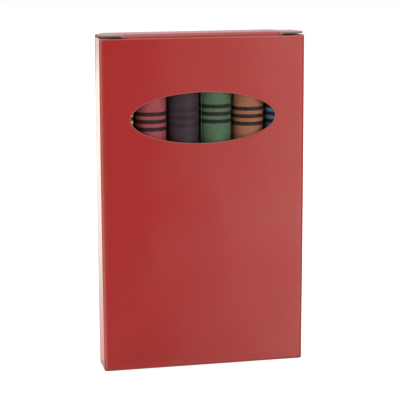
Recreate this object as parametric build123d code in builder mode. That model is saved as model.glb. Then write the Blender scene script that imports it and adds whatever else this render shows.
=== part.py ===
"""Folding carton with an oval window that holds six paper-wrapped wax crayons.

Frame: millimetres, +Z up, origin at the middle of the base. The front faces -Y, X runs to the
right seen from the front. The lid is hinged on the back panel and tucks in behind the front panel.
"""
from build123d import *
from math import cos, radians, sin
import os

os.makedirs("parts", exist_ok=True)

# ---- carton, driving dimensions ----
width = 57.0            # outside, along X
depth = 10.0            # outside, along Y
front_height = 92.0     # base to the cut edge of the front panel
board = 0.4             # thickness of the carton board
lid_level = 92.6        # underside of the lid, which is the top edge of the back panel
side_height = 91.7      # fold line of the top dust flaps
crease_radius = 0.3     # outside of the upright folds

half_width = width / 2
half_depth = depth / 2
inner_half_width = half_width - board
inner_half_depth = half_depth - board

# ---- oval window in the front panel ----
window_width = 40.4
window_height = 14.0
window_level = 70.1     # centre of the oval above the base

# ---- closure at the top ----
lid_width = width - 0.8
lid_reach = 9.5         # hinge line to the tuck fold, along Y
tuck_length = 5.0
tuck_lean = 12.0        # degrees that the tuck leans back from the front panel
tuck_fold_width = 43.0  # the fold between the two slits
tuck_width = 54.8
tuck_shoulder = 1.0     # how far the shoulders fall from fold to side edge
tuck_corner = 3.0
dust_length = 7.5
dust_rise = 3.0         # degrees that a top dust flap stands up from level
dust_front_y = -3.2
dust_front_taper = 0.15
dust_back_y = 4.4
dust_back_taper = 0.45
dust_corner = 1.0

# ---- glued seams and bottom ----
seam_width = 8.4
seam_margin = 1.5       # seam flap ends this far from the folds
seam_chamfer = 2.0
bottom_flap_length = 16.0
bottom_flap_corner = 2.0
bottom_gap = 0.1        # clearance of the inner bottom flaps from the walls

# ---- crayons ----
crayon_colours = ["yellow", "red", "black", "green", "orange", "blue"]
crayon_pitch = 9.15
row_shift = -0.25       # the loose row leans this far to the left
stick_length = 88.0
stick_diameter = 8.3
wrapper_diameter = 8.8
tip_height = 8.0
tip_diameter = 4.4
tip_edge = 0.5
base_edge = 0.5
wrapper_length = 72.5
wrapper_level = 6.2     # lower edge of the green crayon's wrapper above its own base
# each wrapper is glued a little higher or lower on its stick
wrapper_shift = {"yellow": -0.8, "red": -1.6, "black": -0.4, "green": 0.4, "orange": -0.9, "blue": -0.5}
stand_gap = 0.05        # crayon base above the board that it stands on


def crayon_axis(number):
    """X of a crayon, counted from the left."""
    return row_shift + (number - (len(crayon_colours) - 1) / 2) * crayon_pitch


def crayon_base(number):
    """Height of a crayon's base: the middle two stand clear of the bottom dust flaps."""
    on_dust_flap = abs(crayon_axis(number)) > inner_half_width - bottom_flap_length - wrapper_diameter / 2
    layers = 3 if on_dust_flap else 2
    return layers * board + stand_gap


def write(part, name):
    part.label = name
    export_step(part, f"parts/{name}.step")


# ---- the four walls ----
with BuildPart() as front_panel:
    with BuildSketch(Plane.XZ.offset(inner_half_depth)):
        with Locations((0, front_height / 2)):
            Rectangle(width, front_height)
        with Locations((0, window_level)):
            Ellipse(window_width / 2, window_height / 2, mode=Mode.SUBTRACT)
    extrude(amount=board)
    outer_uprights = front_panel.edges().filter_by(Axis.Z).group_by(Axis.Y)[0]
    fillet(outer_uprights, crease_radius)
write(front_panel.part, "front_panel")

with BuildPart() as back_panel:
    with BuildSketch(Plane.XZ.offset(-half_depth)):
        with Locations((0, lid_level / 2)):
            Rectangle(width, lid_level)
    extrude(amount=board)
    outer_uprights = back_panel.edges().filter_by(Axis.Z).group_by(Axis.Y)[-1]
    fillet(outer_uprights, crease_radius)
write(back_panel.part, "back_panel")

with BuildPart() as left_side_panel:
    with BuildSketch(Plane.YZ.offset(-half_width)):
        with Locations((0, side_height / 2)):
            Rectangle(2 * inner_half_depth, side_height)
    extrude(amount=board)
write(left_side_panel.part, "left_side_panel")

with BuildPart() as right_side_panel:
    mirror(left_side_panel.part, about=Plane.YZ)
write(right_side_panel.part, "right_side_panel")

# The seam flap is folded from the back panel and glued inside the left side panel.
with BuildPart() as glue_flap:
    seam_bottom = 3 * board + seam_margin
    seam_top = side_height - seam_margin
    with BuildSketch(Plane.YZ.offset(-inner_half_width)):
        with BuildLine():
            Polyline(
                (inner_half_depth, seam_bottom),
                (inner_half_depth, seam_top),
                (inner_half_depth - seam_width, seam_top - seam_chamfer),
                (inner_half_depth - seam_width, seam_bottom + seam_chamfer),
                close=True,
            )
        make_face()
    extrude(amount=board)
write(glue_flap.part, "glue_flap")

# ---- glued bottom: outer panel, inner panel, then a dust flap from each side ----
with BuildPart() as bottom_outer_panel:
    with BuildSketch(Plane.XY):
        Rectangle(2 * inner_half_width, 2 * inner_half_depth)
    extrude(amount=board)
write(bottom_outer_panel.part, "bottom_outer_panel")

with BuildPart() as bottom_inner_panel:
    with BuildSketch(Plane.XY.offset(board)):
        Rectangle(2 * (inner_half_width - bottom_gap), 2 * (inner_half_depth - bottom_gap))
    extrude(amount=board)
write(bottom_inner_panel.part, "bottom_inner_panel")

with BuildPart() as bottom_dust_flap_left:
    with BuildSketch(Plane.XY.offset(2 * board)):
        with Locations((-inner_half_width, 0)):
            Rectangle(bottom_flap_length, 2 * (inner_half_depth - bottom_gap), align=(Align.MIN, Align.CENTER))
    extrude(amount=board)
    free_corners = bottom_dust_flap_left.edges().filter_by(Axis.Z).group_by(Axis.X)[-1]
    fillet(free_corners, bottom_flap_corner)
write(bottom_dust_flap_left.part, "bottom_dust_flap_left")

with BuildPart() as bottom_dust_flap_right:
    mirror(bottom_dust_flap_left.part, about=Plane.YZ)
write(bottom_dust_flap_right.part, "bottom_dust_flap_right")

# ---- lid, hinged on the top edge of the back panel ----
with BuildPart() as lid_panel:
    with BuildSketch(Plane.XY.offset(lid_level)):
        with Locations((0, half_depth)):
            Rectangle(lid_width, lid_reach, align=(Align.CENTER, Align.MAX))
    extrude(amount=board)
write(lid_panel.part, "lid_panel")

# ---- tuck flap, folded down from the lid between two slits; it hangs in its own leaning plane ----
tuck_fold_y = half_depth - lid_reach
lean = radians(tuck_lean)
tuck_plane = Plane(
    origin=(0, tuck_fold_y + board * cos(lean), lid_level),
    x_dir=(1, 0, 0),
    z_dir=(0, -cos(lean), -sin(lean)),
)
with BuildPart() as tuck_flap:
    with BuildSketch(tuck_plane) as tuck_outline:
        with BuildLine():
            Polyline(
                (-tuck_fold_width / 2, 0),
                (tuck_fold_width / 2, 0),
                (tuck_width / 2, -tuck_shoulder),
                (tuck_width / 2, -tuck_length),
                (-tuck_width / 2, -tuck_length),
                (-tuck_width / 2, -tuck_shoulder),
                close=True,
            )
        make_face()
        fillet(tuck_outline.vertices().group_by(Axis.Y)[0], tuck_corner)
    extrude(amount=board)
write(tuck_flap.part, "tuck_flap")

# ---- top dust flaps, hinged on the side panels and folded in under the lid ----
rise = radians(dust_rise)
dust_plane = Plane(
    origin=(-half_width, 0, side_height),
    x_dir=(cos(rise), 0, sin(rise)),
    z_dir=(-sin(rise), 0, cos(rise)),
)
with BuildPart() as dust_flap_left:
    with BuildSketch(dust_plane) as dust_outline:
        with BuildLine():
            Polyline(
                (0, dust_front_y),
                (dust_length, dust_front_y + dust_front_taper * dust_length),
                (dust_length, dust_back_y - dust_back_taper * dust_length),
                (0, dust_back_y),
                close=True,
            )
        make_face()
        fillet(dust_outline.vertices().group_by(Axis.X)[-1], dust_corner)
    extrude(amount=board)
write(dust_flap_left.part, "dust_flap_left")

with BuildPart() as dust_flap_right:
    mirror(dust_flap_left.part, about=Plane.YZ)
write(dust_flap_right.part, "dust_flap_right")

# ---- six crayons: a moulded wax stick with a conical tip, in a paper wrapper ----
stick_radius = stick_diameter / 2
tip_radius = tip_diameter / 2
for number, colour in enumerate(crayon_colours):
    foot = Plane(origin=(crayon_axis(number), 0, crayon_base(number)))
    with BuildPart() as crayon_stick:
        with BuildSketch(foot.rotated((90, 0, 0))):
            with BuildLine():
                Polyline(
                    (0, 0),
                    (stick_radius - base_edge, 0),
                    (stick_radius, base_edge),
                    (stick_radius, stick_length - tip_height),
                    (tip_radius, stick_length - tip_edge),
                    (tip_radius - tip_edge, stick_length),
                    (0, stick_length),
                    close=True,
                )
            make_face()
        revolve(axis=Axis(foot.origin, (0, 0, 1)))
    write(crayon_stick.part, f"{colour}_stick")

    with BuildPart() as crayon_wrapper:
        with BuildSketch(foot.offset(wrapper_level + wrapper_shift[colour])):
            Circle(wrapper_diameter / 2)
            Circle(stick_radius, mode=Mode.SUBTRACT)
        extrude(amount=wrapper_length)
    write(crayon_wrapper.part, f"{colour}_wrapper")
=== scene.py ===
"""Looks of the crayon box: a varnished red carton with an oval window, and six wrapped crayons.

Coordinates in the builders below are millimetres in the row's frame: +Z up, the front faces -Y.
Each piece of board is one closed mesh: printed face, bare inner face, and pale cut edge.
"""
import bmesh
import bpy
from math import atan2, cos, pi, radians, sin, sqrt
from mathutils import Matrix, Vector, noise


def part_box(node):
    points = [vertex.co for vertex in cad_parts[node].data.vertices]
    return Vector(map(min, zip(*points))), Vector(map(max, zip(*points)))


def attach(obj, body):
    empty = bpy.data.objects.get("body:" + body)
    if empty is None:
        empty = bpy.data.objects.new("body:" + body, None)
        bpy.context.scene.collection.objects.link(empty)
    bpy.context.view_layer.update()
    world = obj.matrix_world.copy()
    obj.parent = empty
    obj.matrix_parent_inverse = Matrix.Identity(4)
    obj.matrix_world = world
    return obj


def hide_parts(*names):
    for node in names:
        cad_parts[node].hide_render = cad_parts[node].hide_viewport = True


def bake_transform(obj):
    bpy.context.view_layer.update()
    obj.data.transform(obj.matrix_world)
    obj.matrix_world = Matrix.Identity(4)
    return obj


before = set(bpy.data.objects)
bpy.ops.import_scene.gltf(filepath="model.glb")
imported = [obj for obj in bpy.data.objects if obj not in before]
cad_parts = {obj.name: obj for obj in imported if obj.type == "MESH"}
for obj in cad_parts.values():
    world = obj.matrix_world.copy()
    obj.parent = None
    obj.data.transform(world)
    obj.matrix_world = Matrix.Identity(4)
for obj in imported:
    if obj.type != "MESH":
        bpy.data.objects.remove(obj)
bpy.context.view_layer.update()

MM = 0.001


# ---------------------------------------------------------------- places, read from the frame
def box_mm(node):
    low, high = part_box(node)
    return low / MM, high / MM


front_low, front_high = box_mm("front_panel")
back_high = box_mm("back_panel")[1]
lid_low, lid_high = box_mm("lid_panel")
tuck_high = box_mm("tuck_flap")[1]
side_high = box_mm("left_side_panel")[1]
dust_low, dust_high = box_mm("dust_flap_left")
seam_low, seam_high = box_mm("glue_flap")

HALF_WIDTH = front_high.x
FRONT_Y = front_low.y
BACK_Y = back_high.y
BOARD = front_high.y - front_low.y
CUT_CRUSH = 0.1          # the front panel's upper edge is crushed by this much
FRONT_TOP = front_high.z - CUT_CRUSH
LID_UNDER = back_high.z
LID_TOP = lid_high.z
SIDE_TOP = side_high.z
MID_HEIGHT = FRONT_TOP / 2

# die-cut window: an ellipse in the front panel, as in CAD
WINDOW_HALF_WIDTH = 20.2
WINDOW_HALF_HEIGHT = 7.0
WINDOW_LEVEL = 70.1

FOLD_RADIUS = 0.8        # outside of the upright folds, which are soft
FOOT_RADIUS = 0.45       # outside of the folds round the bottom
FOLD_STEPS = 8
FOLD_OVERLAP = 0.3       # strip of a side panel that belongs to its dust flap's mesh
EDGE_BAND = 0.35         # width of paler, crushed print along a cut edge

PRINTED, BARE, CUT = 0, 1, 2


def smooth(t):
    t = min(1.0, max(0.0, t))
    return t * t * (3 - 2 * t)


def between(a, b, count):
    """count + 1 evenly spaced values from a to b."""
    return [a + (b - a) * i / count for i in range(count + 1)]


# ---------------------------------------------------------------- shader helpers
class Shader:
    """A node material with short calls for what the materials below repeat."""

    def __init__(self, name):
        self.material = bpy.data.materials.new(name)
        self.material.use_nodes = True
        self.tree = self.material.node_tree
        self.tree.nodes.clear()
        self.output = self.tree.nodes.new("ShaderNodeOutputMaterial")
        self.surface = self.tree.nodes.new("ShaderNodeBsdfPrincipled")
        self.link(self.surface.outputs["BSDF"], self.output.inputs["Surface"])
        coordinates = self.tree.nodes.new("ShaderNodeTexCoord")
        self.place = coordinates.outputs["Object"]

    def link(self, source, target):
        self.tree.links.new(source, target)

    def put(self, value, target):
        """Sets a socket to a number or colour, or links it to another node's output."""
        if isinstance(value, bpy.types.NodeSocket):
            self.link(value, target)
        elif isinstance(value, (tuple, list)) and len(value) == 3 and target.type == "RGBA":
            target.default_value = (*value, 1.0)
        else:
            target.default_value = value

    def set(self, **values):
        for name, value in values.items():
            self.put(value, self.surface.inputs[name.replace("_", " ")])

    def maths(self, operation, *values, clamp=False):
        node = self.tree.nodes.new("ShaderNodeMath")
        node.operation = operation
        node.use_clamp = clamp
        for value, socket in zip(values, node.inputs):
            self.put(value, socket)
        return node.outputs["Value"]

    def axis(self, name):
        """X, Y or Z of the object coordinates, in metres."""
        node = self.tree.nodes.new("ShaderNodeSeparateXYZ")
        self.link(self.place, node.inputs["Vector"])
        return node.outputs[name]

    def attribute(self, name):
        node = self.tree.nodes.new("ShaderNodeAttribute")
        node.attribute_name = name
        return node.outputs["Fac"]

    def scaled(self, stretch):
        """Object coordinates with each axis multiplied by stretch."""
        node = self.tree.nodes.new("ShaderNodeMapping")
        self.link(self.place, node.inputs["Vector"])
        node.inputs["Scale"].default_value = stretch
        return node.outputs["Vector"]

    def noise(self, scale, detail=3.0, roughness=0.5, stretch=(1, 1, 1)):
        """Noise with about scale features per metre."""
        node = self.tree.nodes.new("ShaderNodeTexNoise")
        node.inputs["Scale"].default_value = scale
        node.inputs["Detail"].default_value = detail
        node.inputs["Roughness"].default_value = roughness
        self.link(self.scaled(stretch), node.inputs["Vector"])
        return node.outputs["Fac"]

    def spread(self, value, low, high, to_low=0.0, to_high=1.0):
        """value from low..high to to_low..to_high, clamped."""
        node = self.tree.nodes.new("ShaderNodeMapRange")
        node.interpolation_type = "SMOOTHSTEP"
        ends = {"From Min": low, "From Max": high, "To Min": to_low, "To Max": to_high}
        for name, number in ends.items():
            node.inputs[name].default_value = number
        self.link(value, node.inputs["Value"])
        return node.outputs["Result"]

    def mix(self, amount, first, second):
        node = self.tree.nodes.new("ShaderNodeMix")
        node.data_type = "RGBA"
        self.put(amount, node.inputs["Factor"])
        self.put(first, node.inputs["A"])
        self.put(second, node.inputs["B"])
        return node.outputs["Result"]

    def bump(self, *layers):
        """Layers of (height, strength, distance in metres), laid on each other."""
        normal = None
        for height, strength, distance in layers:
            node = self.tree.nodes.new("ShaderNodeBump")
            node.inputs["Strength"].default_value = strength
            node.inputs["Distance"].default_value = distance
            self.link(height, node.inputs["Height"])
            if normal is not None:
                self.link(normal, node.inputs["Normal"])
            normal = node.outputs["Normal"]
        self.link(normal, self.surface.inputs["Normal"])


def tint(colour, factor):
    return tuple(min(1.0, c * factor) for c in colour)


# ---------------------------------------------------------------- board materials
PRINT_RED = (0.264, 0.0086, 0.0079)
PRINT_RED_DEEP = (0.254, 0.0078, 0.0073)
PRINT_WORN = (0.62, 0.36, 0.30)
# painted shade for the lowest part of the foot folds
PRINT_FOOT_SHADE = (0.02, 0.004, 0.004)
CORE_PALE = (0.30, 0.19, 0.15)
# darker colour for the cut edge at the lid's level
CORE_DARKENED = (0.09, 0.045, 0.04)
LINER_GREY = (0.36, 0.32, 0.28)


def make_printed():
    s = Shader("printed_board")
    blotches = s.noise(70, 4, 0.55)
    mottle = s.noise(1400, 3, 0.6)
    colour = s.mix(s.spread(blotches, 0.3, 0.7), PRINT_RED_DEEP, PRINT_RED)
    colour = s.mix(s.spread(mottle, 0.45, 0.75, 0.0, 0.16), colour, tint(PRINT_RED, 1.35))
    # print cracks along folds and is crushed along cut edges, where the pale board shows
    wear = s.attribute("edge_wear")
    flecks = s.noise(2600, 4, 0.7)
    colour = s.mix(s.maths("MULTIPLY", wear, 0.16), colour, PRINT_WORN)
    cracked = s.spread(s.maths("ADD", wear, s.maths("MULTIPLY", flecks, 0.55)), 1.05, 1.3)
    colour = s.mix(cracked, colour, CORE_PALE)
    # and the folds that the box stands on are darkened with painted shade, for the contact shadow
    # under them
    painted_foot_shade = s.spread(s.axis("Z"), 0.08 * MM, 0.32 * MM, 0.85, 0.0)
    colour = s.mix(painted_foot_shade, colour, PRINT_FOOT_SHADE)
    pull = s.noise(900, 2, 0.5, stretch=(1, 1, 0.25))
    gloss = s.spread(pull, 0.3, 0.7, 0.14, 0.19)
    dull = s.maths("MAXIMUM", cracked, painted_foot_shade)
    s.set(Base_Color=colour, Roughness=s.maths("ADD", gloss, s.maths("MULTIPLY", dull, 0.4)))
    s.set(IOR=1.5, Specular_IOR_Level=0.2)
    s.bump(
        (s.noise(5200, 3, 0.6), 0.12, 0.00002),
        (s.noise(240, 2, 0.4, stretch=(1, 1, 0.35)), 0.25, 0.00006),
    )
    return s.material


def make_bare():
    s = Shader("bare_board")
    fibres = s.noise(900, 5, 0.7, stretch=(1, 1, 0.2))
    specks = s.noise(3800, 2, 0.5)
    colour = s.mix(s.spread(fibres, 0.3, 0.7), tint(LINER_GREY, 0.85), LINER_GREY)
    colour = s.mix(s.spread(specks, 0.66, 0.74, 0.0, 0.6), colour, tint(LINER_GREY, 0.5))
    s.set(Base_Color=colour, Roughness=s.spread(fibres, 0.2, 0.8, 0.78, 0.92))
    s.bump((fibres, 0.35, 0.00004), (s.noise(6000, 3, 0.6), 0.2, 0.00002))
    return s.material


def make_cut():
    s = Shader("cut_board")
    plies = s.noise(2600, 4, 0.7, stretch=(0.3, 1.6, 0.3))
    colour = s.mix(s.spread(plies, 0.3, 0.7), tint(CORE_PALE, 0.8), tint(CORE_PALE, 1.15))
    # the cut edge at the lid's level, the topmost one, is made darker
    lid_level_darkening = s.spread(s.axis("Z"), (LID_UNDER - 0.35) * MM, (LID_UNDER - 0.1) * MM, 0.0, 0.65)
    colour = s.mix(lid_level_darkening, colour, CORE_DARKENED)
    s.set(Base_Color=colour, Roughness=s.spread(plies, 0.2, 0.8, 0.8, 0.95))
    s.bump((plies, 0.5, 0.00005))
    return s.material


board_materials = [make_printed(), make_bare(), make_cut()]


# ---------------------------------------------------------------- mesh helpers
def new_object(name, vertices, faces, materials, indices=None, attributes=None, sharp=35):
    """A mesh piece from points in millimetres, shaded smooth except over sharp edges."""
    mesh = bpy.data.meshes.new(name)
    mesh.from_pydata([Vector(v) * MM for v in vertices], [], faces)
    for material in materials:
        mesh.materials.append(material)
    if indices:
        mesh.polygons.foreach_set("material_index", indices)
    for key, values in (attributes or {}).items():
        layer = mesh.attributes.new(key, "FLOAT", "POINT")
        layer.data.foreach_set("value", values)
    work = bmesh.new()
    work.from_mesh(mesh)
    bmesh.ops.recalc_face_normals(work, faces=work.faces)
    work.to_mesh(mesh)
    work.free()
    mesh.shade_smooth()
    mesh.set_sharp_from_angle(angle=radians(sharp))
    mesh.validate()
    piece = bpy.data.objects.new(name, mesh)
    bpy.context.scene.collection.objects.link(piece)
    return piece


class Sheet:
    """A flat pattern of points and cells that becomes one closed piece of board."""

    def __init__(self):
        self.points = []
        self.cells = []
        self.known = {}

    def point(self, u, v):
        key = (round(u, 4), round(v, 4))
        if key not in self.known:
            self.known[key] = len(self.points)
            self.points.append((u, v))
        return self.known[key]

    def cell(self, *corners):
        numbers = [self.point(*c) for c in corners]
        distinct = [n for i, n in enumerate(numbers) if n != numbers[i - 1]]
        if len(distinct) > 2:
            self.cells.append(distinct)

    def grid(self, us, vs, skip=lambda u, v: False, lay=lambda u, v: (u, v)):
        """Cells between the given lines, left out where skip says so at a cell's middle."""
        for u0, u1 in zip(us, us[1:]):
            for v0, v1 in zip(vs, vs[1:]):
                if not skip((u0 + u1) / 2, (v0 + v1) / 2):
                    self.cell(lay(u0, v0), lay(u1, v0), lay(u1, v1), lay(u0, v1))

    def build(self, name, surface, wear):
        """surface(u, v, depth) gives the place, at depth 0 on the printed face and 1 on the bare."""
        count = len(self.points)
        vertices = [surface(u, v, 0.0) for u, v in self.points]
        vertices += [surface(u, v, 1.0) for u, v in self.points]
        faces = [list(c) for c in self.cells]
        faces += [[n + count for n in reversed(c)] for c in self.cells]
        indices = [PRINTED] * len(self.cells) + [BARE] * len(self.cells)
        used = {(a, b) for c in self.cells for a, b in zip(c, c[1:] + c[:1])}
        for a, b in sorted(used):
            if (b, a) not in used:
                faces.append([b, a, a + count, b + count])
                indices.append(CUT)
        worn = [wear(u, v) for u, v in self.points]
        attributes = {"edge_wear": worn + [0.0] * count}
        return new_object(name, vertices, faces, board_materials, indices, attributes)


def settle(piece, body, nodes):
    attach(piece, body)
    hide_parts(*nodes)
    return piece


# ---------------------------------------------------------------- carton walls
END_NARROWING = 0.004    # share of the width that is lost at the top and bottom
REAR_NARROWING = 0.008   # further share that is lost at the top of the back
EDGE_INSET = 0.10        # how far the front and back are drawn in along their edges
MIDDLE_INSET = 0.05      # and in their middles, where they have faint waves too


def settled_shape(p):
    """Where a point of a square new carton is on one that has been packed and handled."""
    x, y, z = p
    level = (z - MID_HEIGHT) / MID_HEIGHT
    back_share = (y - FRONT_Y) / (BACK_Y - FRONT_Y)
    x *= 1 - END_NARROWING * level**2 - REAR_NARROWING * back_share * max(0.0, level) ** 3
    across = x / HALF_WIDTH
    middle = max(0.0, 1 - across**2) * max(0.0, 1 - level**2)
    wave = 0.03 * sin(x * 0.31 + 0.8) * sin(z * 0.075 + 1.1) + 0.015 * sin(x * 0.17 - z * 0.11)
    inset = EDGE_INSET * (1 - middle) + (MIDDLE_INSET + wave) * middle
    return (x, y + inset if y < 0 else y - inset, z)


FLAT_HALF = HALF_WIDTH - FOLD_RADIUS
ARC = FOLD_RADIUS * pi / 2
FOOT_ARC = FOOT_RADIUS * pi / 2
FOOT_ROWS = between(FOOT_RADIUS - FOOT_ARC, FOOT_RADIUS, FOLD_STEPS)[:-1]


def turn(beyond, radius):
    """Angle round a fold for a point that far beyond its start, measured along the board."""
    return min(pi / 2, max(0.0, beyond / radius))


def corner_point(x, y, v, way, depth):
    """A point on the rounded box, out of its core at (x, y) the level way, and v up the wall."""
    foot = turn(FOOT_RADIUS - v, FOOT_RADIUS)
    reach = FOOT_RADIUS - BOARD * depth
    out = FOLD_RADIUS - FOOT_RADIUS + reach * cos(foot)
    level = max(v, FOOT_RADIUS) - reach * sin(foot)
    return settled_shape((x + out * way[0], y + out * way[1], level))


def upright_surface(y_face):
    """Front or back panel, with the upright folds at its sides and the fold at its foot."""
    way = -1 if y_face < 0 else 1
    core_y = y_face - way * FOLD_RADIUS

    def surface(u, v, depth):
        side = turn(abs(u) - FLAT_HALF, FOLD_RADIUS) * (1 if u > 0 else -1)
        core_x = min(FLAT_HALF, max(-FLAT_HALF, u))
        return corner_point(core_x, core_y, v, (sin(side), way * cos(side)), depth)

    return surface


def near(value, edge, width):
    """1 at the edge, falling to 0 at width from it."""
    return max(0.0, 1 - abs(value - edge) / width)


def fold_wear(u, v):
    side = near(abs(u), FLAT_HALF + ARC / 2, 0.7)
    foot = near(v, FOOT_RADIUS - FOOT_ARC / 2, 0.5)
    return 0.5 * max(side, foot)


def panel_columns(step):
    flat = between(-FLAT_HALF, FLAT_HALF, round(2 * FLAT_HALF / step))
    arc = between(FLAT_HALF, FLAT_HALF + ARC, FOLD_STEPS)[1:]
    return [-u for u in reversed(arc)] + flat + arc


def panel_rows(top, step):
    return FOOT_ROWS + between(FOOT_RADIUS, top - EDGE_BAND, round(top / step)) + [top]


def build_front():
    """The front panel: a grid, with a block of rings round the oval window."""
    sheet = Sheet()
    block_half_width, block_half_height = 23.0, 10.0
    block_low, block_high = WINDOW_LEVEL - block_half_height, WINDOW_LEVEL + block_half_height
    inner = between(-block_half_width, block_half_width, 46)
    outer = between(block_half_width, FLAT_HALF, 4)[1:]
    arc = between(FLAT_HALF, FLAT_HALF + ARC, FOLD_STEPS)[1:]
    us = [-u for u in reversed(outer + arc)] + inner + outer + arc
    block_rows = between(block_low, block_high, 20)
    top_rows = between(block_high, FRONT_TOP - EDGE_BAND, 9)[1:] + [FRONT_TOP]
    vs = FOOT_ROWS + between(FOOT_RADIUS, block_low, 40)[:-1] + block_rows + top_rows

    def in_block(u, v):
        return abs(u) < block_half_width and block_low < v < block_high

    sheet.grid(us, vs, skip=in_block)

    rim = [(u, block_low) for u in inner[:-1]]
    rim += [(block_half_width, v) for v in block_rows[:-1]]
    rim += [(u, block_high) for u in reversed(inner[1:])]
    rim += [(-block_half_width, v) for v in reversed(block_rows[1:])]

    def ring_point(rim_point, share):
        u, v = rim_point
        if share == 1:
            return rim_point
        angle = atan2((v - WINDOW_LEVEL) / WINDOW_HALF_HEIGHT, u / WINDOW_HALF_WIDTH)
        eu = WINDOW_HALF_WIDTH * cos(angle)
        ev = WINDOW_LEVEL + WINDOW_HALF_HEIGHT * sin(angle)
        reach = sqrt((u - eu) ** 2 + (v - ev) ** 2)
        share = max(share, EDGE_BAND / reach) if share else 0
        return (eu + (u - eu) * share, ev + (v - ev) * share)

    shares = [0.0, 0.001, 0.12, 0.28, 0.5, 0.74, 1.0]
    for first, second in zip(rim, rim[1:] + rim[:1]):
        for s0, s1 in zip(shares, shares[1:]):
            corners = ((first, s0), (first, s1), (second, s1), (second, s0))
            sheet.cell(*(ring_point(*corner) for corner in corners))

    flat_surface = upright_surface(FRONT_Y)

    def oval_reach(u, v):
        """How far outside the window a point is, about in millimetres."""
        q = sqrt((u / WINDOW_HALF_WIDTH) ** 2 + ((v - WINDOW_LEVEL) / WINDOW_HALF_HEIGHT) ** 2)
        return (q - 1) * WINDOW_HALF_HEIGHT

    def surface(u, v, depth):
        x, y, z = flat_surface(u, v, depth)
        crushed = near(oval_reach(u, v), 0, 0.05) if depth == 0 else 0
        return (x, y + 0.05 * crushed, z)

    def wear(u, v):
        cut = max(near(v, FRONT_TOP, EDGE_BAND / 2), 0.6 * near(oval_reach(u, v), 0, 0.05))
        return max(cut, fold_wear(u, v))

    piece = sheet.build("front_board", surface, wear)
    return settle(piece, "carton", ["front_panel"])


def build_back():
    flat_surface = upright_surface(BACK_Y)

    def surface(u, v, depth):
        x, y, z = flat_surface(u, v, depth)
        return (x, y, z - wing_dip(x, y) * smooth((v - LID_UNDER + 3) / 3))

    sheet = Sheet()
    sheet.grid(panel_columns(2.0), panel_rows(LID_UNDER, 2.5))
    piece = sheet.build("back_board", surface, fold_wear)
    return settle(piece, "carton", ["back_panel"])


def build_side(sign, name, node):
    """A side panel, between the upright folds, with the fold at its foot."""
    half_flat = (BACK_Y - FRONT_Y) / 2 - FOLD_RADIUS

    def surface(u, v, depth):
        return corner_point(sign * FLAT_HALF, u, v, (sign, 0), depth)

    sheet = Sheet()
    sheet.grid(between(-half_flat, half_flat, 10), panel_rows(SIDE_TOP - FOLD_OVERLAP, 2.5))
    piece = sheet.build(name, surface, lambda u, v: fold_wear(0, v))
    return settle(piece, "carton", [node])


def build_bottom():
    """The outer bottom flap, level with the foot folds, glued over the three inner ones."""
    margin = FOOT_RADIUS + 0.1
    half_x, half_y = HALF_WIDTH - margin, (BACK_Y - FRONT_Y) / 2 - margin

    def surface(u, v, depth):
        return settled_shape((u, v, BOARD * depth))

    sheet = Sheet()
    sheet.grid(between(-half_x, half_x, 30), between(-half_y, half_y, 8))
    piece = sheet.build("bottom_board", surface, lambda u, v: 0.0)
    return settle(piece, "carton", ["bottom_outer_panel"])


def build_seam():
    """The seam flap inside the left wall, with slanted ends and a soft free edge."""
    slant = 2.0
    mid = (seam_low.z + seam_high.z) / 2
    half = (seam_high.z - seam_low.z) / 2

    def lay(u, v):
        free = 1 - u
        return (seam_low.y + u * (seam_high.y - seam_low.y), mid + v * (half - slant * free))

    def surface(u, v, depth):
        x, y, z = settled_shape((seam_low.x + BOARD * depth, u, v))
        return (x + 0.01, min(y, seam_high.y - 0.12), z)

    sheet = Sheet()
    sheet.grid(between(0, 1, 6), between(-1, 1, 36), lay=lay)
    piece = sheet.build("seam_board", surface, lambda u, v: 0.0)
    return settle(piece, "carton", ["glue_flap"])


# ---------------------------------------------------------------- closure
SLIT_START = 21.5        # the tuck is folded from the lid between the slits, cut free outside them
TUCK_LEAN = radians(12)
TUCK_STRAIGHT = 3.95
FRONT_FOLD = 1.2         # outer radius of the soft fold between lid and tuck
LID_FLAT_END = lid_low.y + FRONT_FOLD


def wing_dip(x, y):
    """How far the right end of the lid, and the wall's edge under it, sag at the rear."""
    return 0.20 * smooth((x - 20.5) / 4) * smooth((y + 4) / 9)


def lid_dip(x, y):
    """The lid is a little domed and rolls over at the front; its left rear tip hangs."""
    hinge_share = smooth((BACK_Y - FOLD_RADIUS - y) / 3)
    tip = 0.26 * smooth((-x - 25.2) / 2.6) * smooth((y + 3.5) / 4)
    roll = 0.22 * max(0.0, (-y - 1.5) / 1.8) ** 2
    if y < LID_FLAT_END:
        roll = 0.22 + 0.24 * (LID_FLAT_END - y)
    roll *= 1 - 0.85 * smooth((abs(x) - 20.5) / 3)
    return 0.02 + wing_dip(x, y) + tip + hinge_share * (0.05 * (x / HALF_WIDTH) ** 2 + roll)


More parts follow.
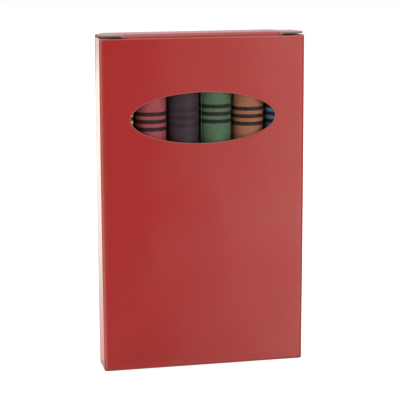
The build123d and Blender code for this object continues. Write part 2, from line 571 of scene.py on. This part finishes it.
def build_lid():
    radius = LID_TOP - LID_UNDER
    arc = radius * pi / 2
    centre_y = BACK_Y - radius
    half = lid_high.x

    def half_width(v):
        """Narrower at the hinge, where the board is notched clear of the side folds."""
        rear = max(0.0, 3.4 - v) / 3.4
        front = max(0.0, v - (arc + centre_y - lid_low.y - 0.9)) / 0.9
        return half - 1.3 * rear - 0.5 * front * front

    def lay(u, v):
        return (u / half * half_width(v), v) if abs(u) > SLIT_START else (u, v)

    def surface(u, v, depth):
        if v < arc:
            reach = max(0.01, radius - BOARD * depth)
            angle = v / radius
            y = centre_y + reach * cos(angle)
            return (u, y, LID_UNDER + (reach - lid_dip(u, y)) * sin(angle))
        y = centre_y - (v - arc)
        return (u, y, LID_TOP - BOARD * depth - lid_dip(u, y))

    wing = between(SLIT_START, half, 7)
    us = [-u for u in reversed(wing)] + between(-SLIT_START, SLIT_START, 26)[1:-1] + wing
    reach = arc + centre_y - LID_FLAT_END
    vs = between(0, arc, FOLD_STEPS) + between(arc, reach, 10)[1:]
    sheet = Sheet()
    sheet.grid(us, vs, lay=lay)
    lip = arc + centre_y - lid_low.y
    for side in (-1, 1):
        columns = [side * u for u in wing][::side]
        sheet.grid(columns, between(reach, lip - 0.08, 2) + [lip], lay=lay)

    def wear(u, v):
        fold = 0.5 * near(v, arc / 2, 0.6)
        front = near(v, lip, 0.06) if abs(u) > SLIT_START + 0.3 else 0
        return max(fold, front)

    piece = sheet.build("lid_board", surface, wear)
    return settle(piece, "lid", ["lid_panel"])


def build_tuck():
    """The tuck flap and the soft fold that joins it to the lid; the fold bends between the two."""
    bend = pi / 2 + TUCK_LEAN
    arc = FRONT_FOLD * bend
    end = arc + TUCK_STRAIGHT
    slit_end = 1.0
    half = tuck_high.x
    round_off = 3.0
    centre_z = LID_TOP - FRONT_FOLD

    def surface(u, v, depth):
        angle = min(v, arc) / FRONT_FOLD
        along = max(0.0, v - arc)
        dip = lid_dip(u, LID_FLAT_END - FRONT_FOLD * sin(min(angle, pi / 2)))
        dip *= 1 - smooth(along / 2.5)
        reach = FRONT_FOLD - BOARD * depth
        y = LID_FLAT_END - reach * sin(angle) + along * sin(TUCK_LEAN)
        return (u, y, centre_z + reach * cos(angle) - along * cos(TUCK_LEAN) - dip)

    def half_width(v):
        lower = max(0.0, v - (end - round_off)) / round_off
        return half - round_off * (1 - sqrt(max(0.0, 1 - lower * lower)))

    def wing(side):
        def lay(u, v):
            """u from 0 at the slit's end to 1 at the side edge, v from 0 at the shoulder to 1."""
            x = SLIT_START + u * (half - SLIT_START)
            shoulder = slit_end + 1.15 * smooth((x - SLIT_START) / 1.9)
            down = shoulder + v * (end - shoulder)
            return (side * (SLIT_START + u * (half_width(down) - SLIT_START)), down)

        return lay

    columns = between(-SLIT_START, SLIT_START, 26)
    curved = (arc - slit_end) / (end - slit_end)
    rows = between(0, curved, 8) + between(curved, 1, 10)[1:]
    below_slits = [slit_end + (end - slit_end) * r for r in rows]
    sheet = Sheet()
    sheet.grid(columns, between(0, slit_end, 8)[:-1] + below_slits)
    shares = [0, 0.06, 0.12, 0.18, 0.24, 0.32, 0.45, 0.6, 0.75, 0.88, 1]
    sheet.grid(shares, rows, lay=wing(1))
    sheet.grid(shares[::-1], rows, lay=wing(-1))
    piece = sheet.build("tuck_board", surface, lambda u, v: 0.4 * near(v, 1.2, 0.8))
    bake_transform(piece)
    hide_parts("tuck_flap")
    return piece


def build_dust(side, name, node, lift):
    """A top dust flap with its fold: it springs up until it meets the lid, then lies flat."""
    arc = BOARD * pi / 2
    length = dust_high.x - dust_low.x

    def rise(s, y):
        """The free front edge springs up further than the rear one."""
        return lift * smooth(s / 3.4) * (1 - 0.65 * smooth((y + 2) / 4))

    def surface(u, v, depth):
        fold_x = settled_shape((HALF_WIDTH, v, SIDE_TOP))[0] - BOARD
        angle = min(arc, max(0.0, u)) / BOARD
        s = max(0.0, u - arc)
        reach = BOARD * (1 - depth)
        z = SIDE_TOP + min(0.0, u) + reach * sin(angle) + rise(s, v)
        return (side * (fold_x + reach * cos(angle) - s), v, z)

    def lay(u, v):
        """v from 0 at the front edge to 1 at the back edge."""
        if u < 0:
            return (u, (2 * v - 1) * (BACK_Y - FOLD_RADIUS))
        s = max(0.0, u - arc)
        front = dust_low.y + 0.15 * s - 1.1 * (1 - smooth((s - 0.5) / 1.8))
        back = dust_high.y - 0.45 * s
        soft = max(0.0, s - (length - 1.6)) / 1.6
        inset = 0.9 * (1 - sqrt(max(0.0, 1 - soft * soft)))
        return (u, front + inset + v * (back - front - 2 * inset))

    free_end = arc + length - BOARD - 0.1
    us = [-FOLD_OVERLAP] + between(0, arc, FOLD_STEPS) + between(arc, free_end, 16)[1:]
    sheet = Sheet()
    sheet.grid(us, between(0, 1, 8)[::side], lay=lay)
    piece = sheet.build(name, surface, lambda u, v: 0.5 * near(u, arc / 2, 0.6))
    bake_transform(piece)
    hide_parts(node)
    return piece


# ---------------------------------------------------------------- crayons
# base colours: wax, and paper as printed
CRAYONS = {
    "yellow": ((0.66, 0.44, 0.04), (0.59, 0.44, 0.15)),
    "red": ((0.36, 0.022, 0.036), (0.224, 0.048, 0.052)),
    "black": ((0.018, 0.016, 0.018), (0.033, 0.0212, 0.0255)),
    "green": ((0.024, 0.15, 0.045), (0.056, 0.096, 0.055)),
    "orange": ((0.52, 0.14, 0.024), (0.222, 0.088, 0.047)),
    "blue": ((0.026, 0.065, 0.24), (0.074, 0.120, 0.205)),
}
BAND_INK = (0.012, 0.010, 0.010)
BAND_BELOW_TOP = 7.0     # wrapper's upper edge to the middle of the first band
BAND_PITCH = 2.07
BAND_WIDTH = 1.06
BANDS = 3
SEAM_TURN = {"yellow": 40, "red": 70, "black": 130, "green": 197, "orange": 30, "blue": 90}


def make_wax(colour, wax):
    s = Shader(colour + "_wax")
    bloom = s.noise(220, 4, 0.6)
    base = s.mix(s.spread(bloom, 0.35, 0.75), wax, tint(wax, 1.18))
    rubs = s.noise(1500, 4, 0.65, stretch=(1, 1, 0.12))
    base = s.mix(s.spread(rubs, 0.62, 0.8, 0.0, 0.35), base, tint(wax, 1.4))
    s.set(Base_Color=base, Roughness=s.spread(rubs, 0.3, 0.7, 0.34, 0.52))
    s.set(IOR=1.44, Subsurface_Weight=0.25, Subsurface_Scale=0.0012)
    s.surface.inputs["Subsurface Radius"].default_value = (1.0, 0.5, 0.3)
    s.bump((rubs, 0.25, 0.00005), (s.noise(3000, 3, 0.6), 0.2, 0.00003))
    return s.material


def make_wrapper_paper(colour, paper, length):
    """Uncoated label paper, printed edge to edge, with three bands near each end."""
    s = Shader(colour + "_wrapper_paper")
    along = s.attribute("along")
    centres = [BAND_BELOW_TOP + BAND_PITCH * i for i in range(BANDS)]
    inked = None
    for centre in centres + [length - c for c in centres]:
        away = s.maths("ABSOLUTE", s.maths("SUBTRACT", along, centre))
        band = s.spread(away, BAND_WIDTH / 2 - 0.05, BAND_WIDTH / 2 + 0.07, 1.0, 0.0)
        inked = band if inked is None else s.maths("MAXIMUM", inked, band)
    fibres = s.noise(1300, 5, 0.7, stretch=(1, 1, 0.5))
    print_pull = s.noise(420, 3, 0.6, stretch=(1, 1, 2.2))
    base = s.mix(s.spread(fibres, 0.25, 0.75), tint(paper, 0.86), tint(paper, 1.12))
    base = s.mix(s.spread(print_pull, 0.5, 0.75, 0.0, 0.18), base, tint(paper, 1.5))
    ink = tint(paper, 0.72) if colour == "black" else BAND_INK
    base = s.mix(s.maths("MULTIPLY", inked, 0.96), base, ink)
    worn = s.attribute("edge_wear")
    base = s.mix(s.spread(worn, 0.3, 1.0, 0.0, 0.75), base, CORE_PALE)
    s.set(Base_Color=base, Roughness=s.spread(fibres, 0.3, 0.7, 0.42, 0.58))
    s.set(IOR=1.5, Specular_IOR_Level=0.06)
    s.bump((fibres, 0.3, 0.00003), (s.noise(300, 2, 0.5, stretch=(1, 1, 0.4)), 0.2, 0.00006))
    return s.material


def build_stick(colour, wax):
    """Moulded wax: rounded foot, straight body, a slight shoulder, a cone and a soft flat tip."""
    low, high = box_mm(colour + "_stick")
    axis_x, axis_y = (low.x + high.x) / 2, (low.y + high.y) / 2
    radius = (high.x - low.x) / 2
    cone_height, tip_radius, tip_round, foot_round, shoulder = 8.0, 2.2, 0.55, 0.5, 0.22
    cone_foot = high.z - cone_height
    # from the middle of the hollowed foot, up the side, to the middle of the tip
    profile = [(0, low.z + 0.45), (1.6, low.z + 0.4), (2.1, low.z + 0.04)]
    profile += [(radius - foot_round, low.z)]
    profile += [
        (radius - foot_round + foot_round * sin(a), low.z + foot_round * (1 - cos(a)))
        for a in between(0, pi / 2, 5)[1:]
    ]
    profile += [(radius, z) for z in between(low.z + 6, cone_foot - 0.25, 8)]
    profile += [(radius - 0.06, cone_foot - 0.06), (radius - shoulder, cone_foot)]
    cone_start = radius - shoulder
    profile += [
        (cone_start + (tip_radius - cone_start) * t, cone_foot + (cone_height - tip_round) * t)
        for t in between(0, 1, 9)[1:]
    ]
    profile += [
        (tip_radius - tip_round * (1 - cos(a)), high.z - tip_round + tip_round * sin(a))
        for a in between(0, pi / 2, 5)[1:]
    ]
    profile += [(0.7, high.z - 0.01), (0, high.z - 0.03)]
    steps = 72
    vertices, faces, rows = [], [], []
    for r, z in profile:
        if r == 0:
            rows.append([len(vertices)] * steps)
            vertices.append((axis_x, axis_y, z))
            continue
        rows.append(list(range(len(vertices), len(vertices) + steps)))
        for k in range(steps):
            a = 2 * pi * k / steps
            dent = 0.03 * noise.noise(Vector((axis_x + 3 * cos(a), 3 * sin(a), z * 0.25)))
            rr = min(radius, r + dent - 0.02) if z > high.z - 16 else r
            vertices.append((axis_x + rr * cos(a), axis_y + rr * sin(a), z))
    for lower, upper in zip(rows, rows[1:]):
        for k in range(steps):
            j = (k + 1) % steps
            ring = [lower[k], lower[j], upper[j], upper[k]]
            faces.append([n for i, n in enumerate(ring) if n != ring[i - 1]])
    piece = new_object(colour + "_crayon_stick", vertices, faces, [make_wax(colour, wax)], sharp=50)
    return settle(piece, colour + "_crayon", [colour + "_stick"])


def build_wrapper(colour, paper):
    """Label paper wound twice, so that its free edge stands one thickness proud along a seam."""
    low, high = box_mm(colour + "_wrapper")
    axis_x, axis_y = (low.x + high.x) / 2, (low.y + high.y) / 2
    outer = (high.x - low.x) / 2
    stick_low, stick_high = box_mm(colour + "_stick")
    inner = (stick_high.x - stick_low.x) / 2 + 0.005
    step_height = 0.11
    seam = radians(SEAM_TURN[colour])
    steps = 96
    shift = len(colour) * 1.7

    def ragged(angle, end):
        """How much shorter than a straight cut the paper is at that end."""
        spot = Vector((2 * cos(angle) + shift, 2 * sin(angle), end * 9.0))
        return 0.05 + 0.045 * noise.noise(spot)

    length = high.z - low.z
    heights = [0.0, 0.12, 3.0] + between(8.0, length - 8.0, 10)
    heights += [length - 3.0, length - 0.12, length]
    angles = [2 * pi * k / steps for k in range(steps)] + [2 * pi - 0.012]
    vertices, along, worn = [], [], []
    for wall in ("outer", "inner"):
        for h in heights:
            for a in angles:
                share = a / (2 * pi)
                spot = Vector((3 * cos(a) + shift, 3 * sin(a), h * 0.12))
                waver = 0.012 * noise.noise(spot)
                proud = min(outer, outer - step_height * (1 - share) + waver)
                radius = proud if wall == "outer" else inner
                z = low.z + h
                if h == 0:
                    z += ragged(a, 0)
                elif h == length:
                    z -= ragged(a, 1)
                turned = a + seam
                vertices.append((axis_x + radius * cos(turned), axis_y + radius * sin(turned), z))
                along.append(length - h)
                at_end = h in (0, length)
                at_seam = wall == "outer" and share > 0.99
                worn.append(1.0 if at_end or at_seam else 0.0)
    count, turns = len(angles), len(heights)
    faces = []

    def number(wall, row, k):
        return (wall * turns + row) * count + k % count

    for k in range(count):
        for row in range(turns - 1):
            for wall in (0, 1):
                ring = [(row, k), (row, k + 1), (row + 1, k + 1), (row + 1, k)]
                faces.append([number(wall, *corner) for corner in ring])
        for row in (0, turns - 1):
            ring = [(0, k), (1, k), (1, k + 1), (0, k + 1)]
            faces.append([number(wall, row, step) for wall, step in ring])
    material = make_wrapper_paper(colour, paper, length)
    attributes = {"along": along, "edge_wear": worn}
    name = colour + "_crayon_wrapper"
    piece = new_object(name, vertices, faces, [material], None, attributes, sharp=50)
    return settle(piece, colour + "_crayon", [colour + "_wrapper"])


# ---------------------------------------------------------------- the object
build_front()
build_back()
build_side(-1, "left_side_board", "left_side_panel")
build_side(1, "right_side_board", "right_side_panel")
build_bottom()
build_seam()
build_lid()
build_tuck()
build_dust(-1, "left_dust_board", "dust_flap_left", 0.12)
build_dust(1, "right_dust_board", "dust_flap_right", 0.40)
for crayon, (wax_colour, paper_colour) in CRAYONS.items():
    build_stick(crayon, wax_colour)
    build_wrapper(crayon, paper_colour)

# the inner bottom flaps are plain flat board in CAD, and stay, with the bare board's material
for inner_flap in ("bottom_inner_panel", "bottom_dust_flap_left", "bottom_dust_flap_right"):
    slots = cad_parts[inner_flap].data.materials
    slots.clear()
    slots.append(board_materials[BARE])


# ---------------------------------------------------------------- camera, floor and light
CAMERA_PLACE = (-83.1, -379.8, 122.6)


def place_camera():
    """Low telephoto view from the front left."""
    camera = bpy.data.objects.new("camera", bpy.data.cameras.new("camera"))
    bpy.context.scene.collection.objects.link(camera)
    yaw, pitch, roll = radians(12.325), radians(11.098), radians(-0.25)
    turned = Matrix.Rotation(-yaw, 4, "Z") @ Matrix.Rotation(pi / 2 - pitch, 4, "X")
    turned = turned @ Matrix.Rotation(roll, 4, "Z")
    camera.matrix_world = Matrix.Translation(Vector(CAMERA_PLACE) * MM) @ turned
    camera.data.sensor_width = 36
    camera.data.lens = 127.9
    camera.data.clip_start = 0.01
    bpy.context.scene.camera = camera


def place_floor():
    mesh = bpy.data.meshes.new("floor")
    reach = 3.0
    corners = [(-reach, -reach, 0), (reach, -reach, 0), (reach, reach, 0), (-reach, reach, 0)]
    mesh.from_pydata(corners, [], [(0, 1, 2, 3)])
    s = Shader("floor_paper")
    grain = s.noise(300, 3, 0.5)
    s.set(Base_Color=s.mix(grain, (0.93, 0.93, 0.93), (0.95, 0.95, 0.95)), Roughness=0.9)
    s.set(Specular_IOR_Level=0.0, Emission_Color=(1, 1, 1), Emission_Strength=0.34)
    mesh.materials.append(s.material)
    floor = bpy.data.objects.new("floor", mesh)
    floor.visible_glossy = False
    bpy.context.scene.collection.objects.link(floor)


def softbox(name, place, aim, size, radiance):
    """A rectangular area light whose face shines with the given radiance."""
    data = bpy.data.lights.new(name, "AREA")
    data.shape = "RECTANGLE"
    data.size, data.size_y = (side * MM for side in size)
    data.energy = radiance * pi * data.size * data.size_y
    light = bpy.data.objects.new(name, data)
    light.location = Vector(place) * MM
    light.rotation_euler = (Vector(aim) - Vector(place)).to_track_quat("-Z", "Y").to_euler()
    light.visible_camera = False
    bpy.context.scene.collection.objects.link(light)


def glowing_card(name, x_ends, y, z_ends, place=(0, 0, 0), scale=1):
    """An upright card, seen only in gloss. Returns its shader, which needs its emission set."""
    s = Shader(name)
    s.set(Base_Color=(0, 0, 0), Specular_IOR_Level=0.0)
    mesh = bpy.data.meshes.new(name)
    (left, right), (bottom, top) = x_ends, z_ends
    corners = [(left, y, bottom), (right, y, bottom), (right, y, top), (left, y, top)]
    mesh.from_pydata([Vector(c) * MM for c in corners], [], [(0, 1, 2, 3)])
    mesh.materials.append(s.material)
    s.material.cycles.emission_sampling = "NONE"
    card = bpy.data.objects.new(name, mesh)
    card.visible_camera = card.visible_diffuse = card.visible_shadow = False
    card.location = Vector(place) * MM
    card.scale = (scale, 1, scale)
    bpy.context.scene.collection.objects.link(card)
    return s


CARD_DISTANCE = 100.0
CARD_TINT = (0.8, 1.0, 0.9)
BASE_GLOW = 2.85


def place_front_sheen():
    """The sheen on the varnish of the front: it grows to the right, with an uneven left border."""
    # the card is moved and enlarged so that the front mirrors it at the front's own scale
    share = CARD_DISTANCE / (FRONT_Y - CAMERA_PLACE[1])
    place = (-CAMERA_PLACE[0] * share, FRONT_Y - CARD_DISTANCE, -CAMERA_PLACE[2] * share)
    s = glowing_card("sheen_front", (-45, 50), 0, (-10, 105), place, 1 + share)
    x, z = s.axis("X"), s.axis("Z")
    ripple = s.maths("MULTIPLY", s.maths("SUBTRACT", s.noise(60, 4, 0.6), 0.5), 0.06)
    across = s.maths("ADD", x, ripple)
    border = s.spread(across, -0.017, -0.004, -1.6, 0.0)
    growth = s.maths("MULTIPLY", s.maths("MAXIMUM", across, 0.0), 103.0)
    fade = s.spread(z, -0.005, 0.04, 0.68, 1.0)
    glow = s.maths("MULTIPLY", s.maths("ADD", border, growth), fade)
    s.set(Emission_Color=CARD_TINT, Emission_Strength=s.maths("ADD", glow, BASE_GLOW))


def place_left_sheen():
    """The highlight of the left fold, and the sheen on the left wall, which grows upwards."""
    s = glowing_card("sheen_fold", (-40, -26.8), -6, (0.1, 96))
    glow = s.spread(s.axis("X"), -0.0295, -0.0268, 5.75, 1.25)
    s.set(Emission_Color=CARD_TINT, Emission_Strength=glow)
    s = glowing_card("sheen_side", (-90, -28.6), 5.5, (0.1, 96))
    z = s.axis("Z")
    growth = s.spread(z, -0.01, 0.06, 1.05, 2.5)
    glow = s.maths("MULTIPLY", growth, s.spread(z, 0.076, 0.09, 1.0, 0.7))
    colour = s.mix(s.spread(z, 0.0, 0.03), (1.14, 0.86, 0.80), (0.86, 0.96, 0.85))
    s.set(Emission_Color=colour, Emission_Strength=glow)


def place_world():
    """White behind the object, and dimmer as light on it and as a reflection in it."""
    world = bpy.data.worlds.new("studio")
    bpy.context.scene.world = world
    world.use_nodes = True
    tree = world.node_tree
    background = tree.nodes["Background"]
    background.inputs["Color"].default_value = (1, 1, 1, 1)
    rays = tree.nodes.new("ShaderNodeLightPath")
    strength = None
    for ray, change in (("Is Diffuse Ray", -0.35), ("Is Glossy Ray", -0.27)):
        node = tree.nodes.new("ShaderNodeMath")
        node.operation = "MULTIPLY_ADD"
        tree.links.new(rays.outputs[ray], node.inputs[0])
        node.inputs[1].default_value = change
        node.inputs[2].default_value = 1.0
        if strength is not None:
            tree.links.new(strength, node.inputs[2])
        strength = node.outputs["Value"]
    tree.links.new(strength, background.inputs["Strength"])


def place_lights():
    place_world()
    aim = (0, 0, 50)
    softbox("softbox_top", (-100, 160, 900), aim, (900, 900), 2.6)
    softbox("softbox_key", (480, -430, 260), aim, (330, 330), 4.9)
    softbox("softbox_fill", (-480, -260, 200), aim, (330, 330), 1.7)
    place_front_sheen()
    place_left_sheen()


place_camera()
place_floor()
place_lights()
bpy.context.scene.view_settings.view_transform = "Standard"

bpy.context.view_layer.update()
